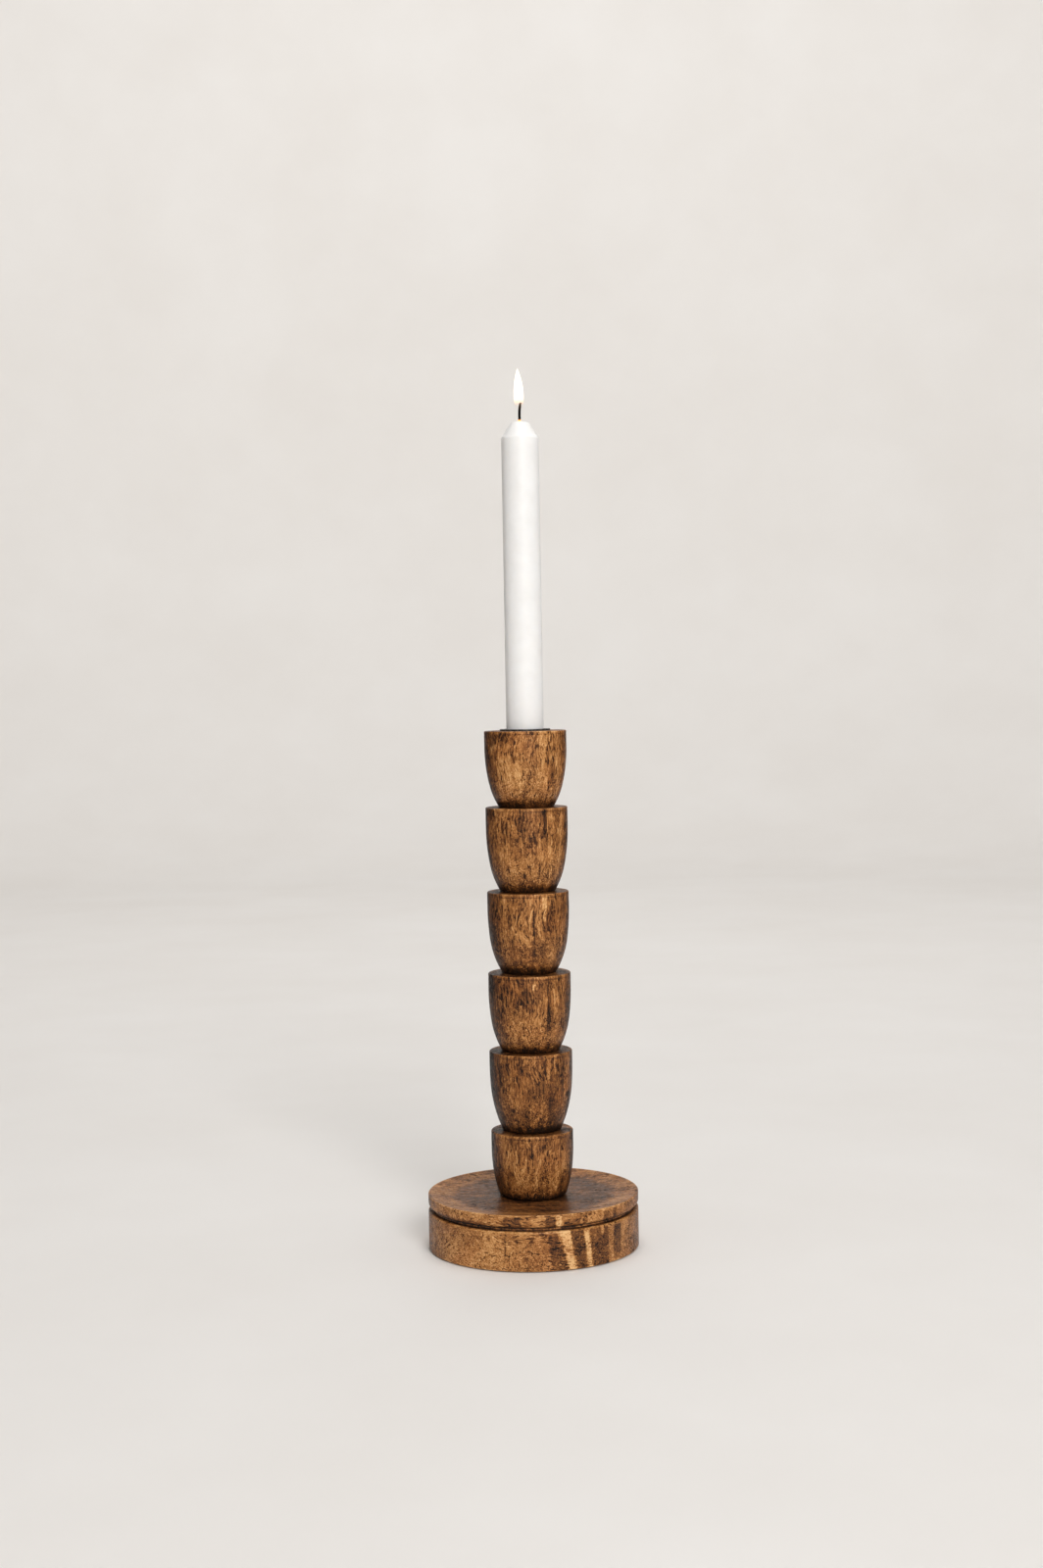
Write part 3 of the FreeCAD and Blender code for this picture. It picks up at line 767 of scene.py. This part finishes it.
def black_iron():
    """Black paint on pressed iron, worn to bare metal along its edges."""
    p = Paint("black_iron")
    spot = p.place()
    cloud = p.noise(spot, 0.8, 4.0, 0.65)
    rub = p.times(p.rise(p.layer("edge"), 0.3, 0.8), p.rise(cloud, 0.48, 0.62))
    color = p.blend(rub, p.ramp(cloud, ((0.3, (0.012, 0.012, 0.013)), (0.7, (0.032, 0.031, 0.030)))),
                    (0.20, 0.18, 0.16))
    normal = p.bump(p.noise(spot, 2.2, 3.0), 0.05 * MM, 0.8)
    return p.surface(
        Base_Color=color,
        Metallic=p.times(rub, 0.8),
        Roughness=p.rise(cloud, 0.3, 0.7, 0.36, 0.55),
        Normal=normal,
    )


def make_socket():
    """The iron socket, turned again from its CAD outline."""
    outline, closed = cad_outline("candle_socket")
    outline = smooth_outline(outline, closed, lambda radius, level: 0.5 * MM)
    edges = ring_values(outline, outline_edges(outline, closed, 0.6 * MM))
    made = lathe("iron_socket", outline, closed, 128, None, {"edge": edges})
    made.data.materials.append(black_iron())
    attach(made, SOCKET)
    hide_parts("candle_socket")


def dress_hardware():
    """The rod, nuts and washers stay as CAD nodes, with a plated finish."""
    finishes = {
        "tie_rod": zinc("zinc_rod", pitch=1.25),
        "base_nut": zinc("zinc_base_nut"),
        "top_nut": zinc("zinc_top_nut"),
        "base_washer": zinc("zinc_base_washer"),
        "top_washer": zinc("zinc_top_washer"),
    }
    for node, finish in finishes.items():
        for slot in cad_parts[node].material_slots:
            slot.material = finish


# ---------------------------------------------------------------- felt


def felt():
    """Dark brown felt, matted and dull."""
    p = Paint("felt")
    spot = p.place()
    tangle = p.noise(p.wander(spot, 0.8, 3.0), 1.6, 5.0, 0.75, 1.2)
    browns = ((0.25, (0.030, 0.022, 0.016)), (0.5, (0.055, 0.042, 0.032)), (0.75, (0.10, 0.08, 0.062)))
    color = p.ramp(tangle, browns)
    normal = p.bump(tangle, 0.5 * MM)
    return p.surface(
        Base_Color=color, Roughness=0.95, Normal=normal, Sheen_Weight=0.5, Sheen_Roughness=0.6, IOR=1.35
    )


def make_felt():
    """The felt disc: die-cut, with a fuzzy side and a faintly lumpy underside."""
    low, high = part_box("felt_pad")
    radius, thick = high.x, high.z - low.z
    soft = 0.35 * MM  # rounding of the cut edges
    side = [(0.5 * MM, 0.0)]
    side += [(r * MM, 0.0) for r in np.arange(1.5, radius / MM - 1.0, 1.5)]
    side += [(radius - soft, 0.0), (radius - soft * 0.3, soft * 0.3), (radius, soft)]
    side += [(radius, thick - soft), (radius - soft * 0.3, thick - soft * 0.3), (radius - soft, thick)]
    side += [(r * MM, thick) for r in np.arange(radius / MM - 2.0, 1.0, -4.0)]
    outline = np.array(side) + (0.0, low.z)

    def carve(angle, r, level):
        fuzz = noise.noise(Vector((math.cos(angle) * 60, math.sin(angle) * 60, r * 900 + level * 3000)))
        return (0.5 + 0.5 * fuzz) * (0.35 if r > radius - 1 * MM else 0.06) * MM

    made = lathe("felt_disc", outline, False, 360, carve)
    made.data.materials.append(felt())
    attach(made, STAND)
    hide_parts("felt_pad")


# ---------------------------------------------------------------- candle


def wax():
    """White wax that lets a little light in, faintly ringed where it was dipped."""
    p = Paint("white_wax")
    spot = p.place()
    cloud = p.noise(spot, 0.10, 3.0, 0.6)
    dips = p.noise(p.stretch(spot, (0.02, 0.02, 0.22)), 1.0, 2.0)
    color = p.ramp(cloud, ((0.3, (0.785, 0.782, 0.775)), (0.7, (0.825, 0.823, 0.818))))
    normal = p.bump(p.add(dips, p.times(p.noise(spot, 0.7, 2.0), 0.15)), 0.12 * MM, 0.5)
    return p.surface(
        Base_Color=color,
        Roughness=p.rise(p.noise(spot, 0.5, 3.0), 0.3, 0.7, 0.36, 0.5),
        Normal=normal,
        Subsurface_Weight=0.7,
        Subsurface_Radius=(4.5, 4.2, 3.9),
        Subsurface_Scale=1.0 * MM,
        IOR=1.44,
    )


def make_candle():
    """The candle, with a little sag of melted wax round the wick and faint dips down its side."""
    low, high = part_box("candle_wax")
    outline, closed = cad_outline("candle_wax")
    outline = smooth_outline(outline, closed, lambda r, level: 4 * MM if r < 1.2 * MM else 0.7 * MM)

    def carve(angle, radius, level):
        if radius < 1.2 * MM:
            return 0.0
        slow = noise.noise(Vector((math.cos(angle) * 0.9, math.sin(angle) * 0.9, level * 22)))
        worn = noise.noise(Vector((math.cos(angle) * 2.0, math.sin(angle) * 2.0, level * 160)))
        top = max(0.0, 1.0 - (high.z - level) / (10 * MM))
        return (0.5 + 0.5 * slow) * 0.07 * MM + (0.5 + 0.5 * worn) * 0.30 * MM * top

    made = lathe("candle", outline, closed, 160, carve)
    made.data.materials.append(wax())
    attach(made, CANDLE)
    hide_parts("candle_wax")


def char():
    """Cotton, charred black above the wax, with a last ember where it leaves it."""
    p = Paint("charred_cotton")
    spot = p.place()
    level = p.node("ShaderNodeSeparateXYZ", {0: spot}).outputs["Z"]
    wax_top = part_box("candle_wax")[1].z / MM
    threads = p.noise(spot, 2.5, 3.0, 0.7)
    burnt = p.rise(p.add(level, p.times(p.add(threads, -0.5), 0.8)), wax_top + 0.5, wax_top + 1.3)
    cotton = p.ramp(threads, ((0.3, (0.45, 0.40, 0.32)), (0.7, (0.70, 0.66, 0.58))))
    black = p.ramp(threads, ((0.3, (0.002, 0.002, 0.002)), (0.7, (0.010, 0.008, 0.007))))
    glow = p.times(
        p.rise(level, wax_top + 0.1, wax_top + 0.5), p.rise(level, wax_top + 0.9, wax_top + 1.6, 1.0, 0.0)
    )
    return p.surface(
        Base_Color=p.blend(burnt, cotton, black),
        Roughness=0.95,
        Specular_IOR_Level=0.05,
        Normal=p.bump(threads, 0.1 * MM),
        Emission_Color=(1.0, 0.25, 0.04),
        Emission_Strength=p.times(glow, 3.0),
    )


WICK_STRANDS = 3
WICK_LAY = 3.2 * MM  # height of one turn of the twist
WICK_SIDES = 10


def make_wick():
    """Three twisted strands along the CAD wick's own line."""
    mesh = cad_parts["wick"].data
    low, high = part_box("wick")
    points = np.array([v.co[:] for v in mesh.vertices])
    radius = low.y * -1.0
    # The line's straight part is the Z axis, and its end is the middle of the bent end's ring.
    tip = points[points[:, 2] > high.z - 0.6 * MM].mean(0)
    bend_from = high.z - 7.2 * MM
    bend = (tip[2] - bend_from) ** 2 / (2 * tip[0])  # radius of the bend
    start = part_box("candle_wax")[1].z - 12 * MM
    levels = np.arange(start, high.z - 0.25 * MM, 0.28 * MM)
    spots, faces = [], []
    strand_radius = radius * 0.56
    for strand in range(WICK_STRANDS):
        first = len(spots)
        for level in levels:
            over = max(0.0, level - bend_from)
            lean = over**2 / (2 * bend)
            turn = 2 * math.pi * (strand / WICK_STRANDS + level / WICK_LAY)
            burnt = max(0.0, 1.0 - (high.z - level) / (3.0 * MM))
            reach = (radius - strand_radius) * (1.0 - 0.3 * burnt)
            ragged = 1.0 + 0.16 * noise.noise(Vector((level * 1400, strand * 5.0, 0.0)))
            size = strand_radius * (1.0 - 0.25 * burnt) * min(ragged, 1.0)
            centre = (lean + reach * math.cos(turn), reach * math.sin(turn))
            for side in range(WICK_SIDES):
                angle = 2 * math.pi * side / WICK_SIDES
                x = centre[0] + size * math.cos(angle)
                y = centre[1] + size * math.sin(angle)
                spots.append((x, y, level))
        rings = len(levels)
        for i in range(rings - 1):
            for side in range(WICK_SIDES):
                a = first + i * WICK_SIDES + side
                b = first + i * WICK_SIDES + (side + 1) % WICK_SIDES
                faces.append((a, b, b + WICK_SIDES, a + WICK_SIDES))
        faces.append(tuple(first + side for side in reversed(range(WICK_SIDES))))
        faces.append(tuple(first + (rings - 1) * WICK_SIDES + side for side in range(WICK_SIDES)))
    made = finish_mesh("wick_strands", spots, faces)
    made.data.materials.append(char())
    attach(made, CANDLE)
    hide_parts("wick")


# ---------------------------------------------------------------- flame

FLAME_HEIGHT = 24.5 * MM
FLAME_RADIUS = 2.75 * MM
FLAME_BELOW_WICK_TIP = 5.5 * MM
FLAME_SHIFT, FLAME_LEAN = -0.2 * MM, -0.6 * MM  # along X, of all of it and more and more towards its tip
FLAME_SHAPE = (  # share of the height, share of the radius
    (0.0, 0.30), (0.08, 0.70), (0.20, 0.94), (0.40, 1.0),
    (0.57, 0.92), (0.75, 0.68), (0.88, 0.40), (1.0, 0.06),
)


def fire(foot, top):
    """Glowing gas: almost clear and peach round the wick, then white."""
    p = Paint("fire")
    level = p.node("ShaderNodeSeparateXYZ", {0: p.place()}).outputs["Z"]
    share = p.node("ShaderNodeMapRange", {0: level, 1: foot / MM, 2: top / MM}).outputs[0]
    color = p.ramp(share, ((0.0, (1.0, 0.55, 0.30)), (0.25, (1.0, 0.72, 0.48)), (0.42, (1.0, 0.90, 0.76)),
                          (1.0, (1.0, 0.86, 0.68))))
    glow = p.node("ShaderNodeEmission", {0: color, 1: p.rise(share, 0.05, 0.40, 0.9, 2.6)})
    clear = p.node("ShaderNodeBsdfTransparent")
    body = p.math("MAXIMUM", p.rise(share, 0.0, 0.2, 0.0, 0.06), p.rise(share, 0.10, 0.42))
    mixed = p.node("ShaderNodeMixShader", {0: body, 1: clear.outputs[0], 2: glow.outputs[0]})
    p.tree.links.new(mixed.outputs[0], p.output.inputs[0])
    return p.material


def make_flame():
    """A still flame round the wick's bent end. It is light, so it stands for no CAD node."""
    low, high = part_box("wick")
    foot = high.z - FLAME_BELOW_WICK_TIP
    shape = np.array([(wide * FLAME_RADIUS, foot + up * FLAME_HEIGHT) for up, wide in FLAME_SHAPE])
    made = lathe("flame", smooth_outline(shape, False, lambda radius, level: 0.4 * MM), False, 48)
    for vertex in made.data.vertices:
        share = (vertex.co.z - foot) / FLAME_HEIGHT
        vertex.co.x += FLAME_SHIFT + FLAME_LEAN * share**2
    made.data.materials.append(fire(foot, foot + FLAME_HEIGHT))
    made.visible_shadow = False
    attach(made, CANDLE)


# ---------------------------------------------------------------- studio

ROOM_RADIUS = 2.4  # of the flat floor
ROOM_CURVE = 0.9  # radius of the sweep from the floor up to the wall
ROOM_HEIGHT = 3.2


def plaster():
    """Pale, dull plaster with very faint clouds."""
    p = Paint("pale_room")
    spot = p.place()
    cloud = p.noise(spot, 0.004, 3.0, 0.6)
    color = p.ramp(cloud, ((0.3, (0.80, 0.775, 0.745)), (0.7, (0.83, 0.81, 0.785))))
    return p.surface(Base_Color=color, Roughness=0.85)


def make_room():
    """A plain pale floor that sweeps up into a round wall, open at the top."""
    outline = [(r, 0.0) for r in np.linspace(0.2, ROOM_RADIUS, 12)]
    for turn in np.linspace(0, math.pi / 2, 16)[1:]:
        outline.append((ROOM_RADIUS + ROOM_CURVE * math.sin(turn), ROOM_CURVE * (1 - math.cos(turn))))
    outline.append((ROOM_RADIUS + ROOM_CURVE, ROOM_HEIGHT))
    segments = 96
    spots = [(0.0, 0.0, 0.0)]
    for radius, level in outline:
        for k in range(segments):
            angle = 2 * math.pi * k / segments
            spots.append((radius * math.cos(angle), radius * math.sin(angle), level))
    faces = [(0, 1 + k, 1 + (k + 1) % segments) for k in range(segments)]
    for i in range(len(outline) - 1):
        for k in range(segments):
            a, b = 1 + i * segments + k, 1 + i * segments + (k + 1) % segments
            faces.append((a, a + segments, b + segments, b))
    room = finish_mesh("room", spots, faces)
    room.data.materials.append(plaster())


# Round lamps: name, place, target, width in metres and power in watts.
LAMPS = (
    ("window", (0.75, -2.62, 1.52), (0.0, 0.0, 0.25), 1.2, 57.0),
    ("ceiling", (0.1, -0.2, 2.7), (0.0, 0.0, 0.0), 1.4, 23.0),
    ("wall_wash", (0.0, 1.1, 2.7), (0.0, 3.3, 0.7), 1.4, 31.0),
)
LAMP_COLOR = (1.0, 0.995, 0.99)
SKY_COLOR, SKY_STRENGTH = (0.95, 0.97, 1.0, 1.0), 0.06


def make_lights():
    """The lamps, and a dim sky over the open room."""
    for name, place, target, size, power in LAMPS:
        data = bpy.data.lights.new(name, "AREA")
        data.shape = "DISK"
        data.size, data.energy, data.color = size, power, LAMP_COLOR
        lamp = bpy.data.objects.new(name, data)
        lamp.location = place
        lamp.rotation_euler = (Vector(target) - Vector(place)).to_track_quat("-Z", "Y").to_euler()
        bpy.context.scene.collection.objects.link(lamp)
    world = bpy.data.worlds.new("studio")
    world.use_nodes = True
    background = world.node_tree.nodes["Background"]
    background.inputs[0].default_value = SKY_COLOR
    background.inputs[1].default_value = SKY_STRENGTH
    bpy.context.scene.world = world


FLAG_DISTANCE = 0.62  # of each black card from the middle
FLAG_NEAR, FLAG_FAR = -0.6, 1.0  # its ends along Y
FLAG_LOW, FLAG_HIGH = 0.05, 0.65  # its edges above the floor


def make_flags():
    """Black cards at the left and right, seen only in reflections, so that both edges stay dark."""
    p = Paint("black_card")
    cloud = p.noise(p.place(), 0.02, 2.0)
    shade = p.ramp(cloud, ((0.3, (0.012, 0.012, 0.012)), (0.7, (0.02, 0.02, 0.02))))
    card = p.surface(Base_Color=shade, Roughness=0.9)
    corners = ((FLAG_NEAR, FLAG_LOW), (FLAG_FAR, FLAG_LOW), (FLAG_FAR, FLAG_HIGH), (FLAG_NEAR, FLAG_HIGH))
    for x, name in ((-FLAG_DISTANCE, "flag_left"), (FLAG_DISTANCE, "flag_right")):
        spots = [(x, y, level) for y, level in corners]
        flag = finish_mesh(name, spots, [(0, 1, 2, 3)])
        flag.data.materials.append(card)
        flag.visible_camera = False
        flag.visible_shadow = False
        flag.visible_diffuse = False


# The camera: a 50 mm lens on a full-frame sensor, 1.28 m in front of the stand's axis.
CAMERA_DISTANCE = 1.2807
CAMERA_HEIGHT = 0.3364
CAMERA_DOWN = math.radians(2.77)
CAMERA_SIDE = math.radians(0.118)
CAMERA_ROLL = math.radians(-1.025)


def make_camera():
    """A camera in front of the stand, aimed a little down and rolled by CAMERA_ROLL."""
    data = bpy.data.cameras.new("camera")
    data.lens, data.sensor_width = 50.0, 36.0
    camera = bpy.data.objects.new("camera", data)
    bpy.context.scene.collection.objects.link(camera)
    aim = Matrix.Rotation(CAMERA_SIDE, 4, "Z") @ Matrix.Rotation(math.pi / 2 - CAMERA_DOWN, 4, "X")
    place = Matrix.Translation((0.0, -CAMERA_DISTANCE, CAMERA_HEIGHT))
    camera.matrix_world = place @ aim @ Matrix.Rotation(CAMERA_ROLL, 4, "Z")
    bpy.context.scene.camera = camera


# ---------------------------------------------------------------- the whole

make_camera()
make_room()
make_lights()
make_flags()
bpy.context.scene.view_settings.view_transform = "Standard"
make_felt()
make_base()
for cup_node in CUPS:
    make_cup(cup_node, CUP_LOOKS[cup_node])
make_socket()
make_candle()
make_wick()
make_flame()
dress_hardware()
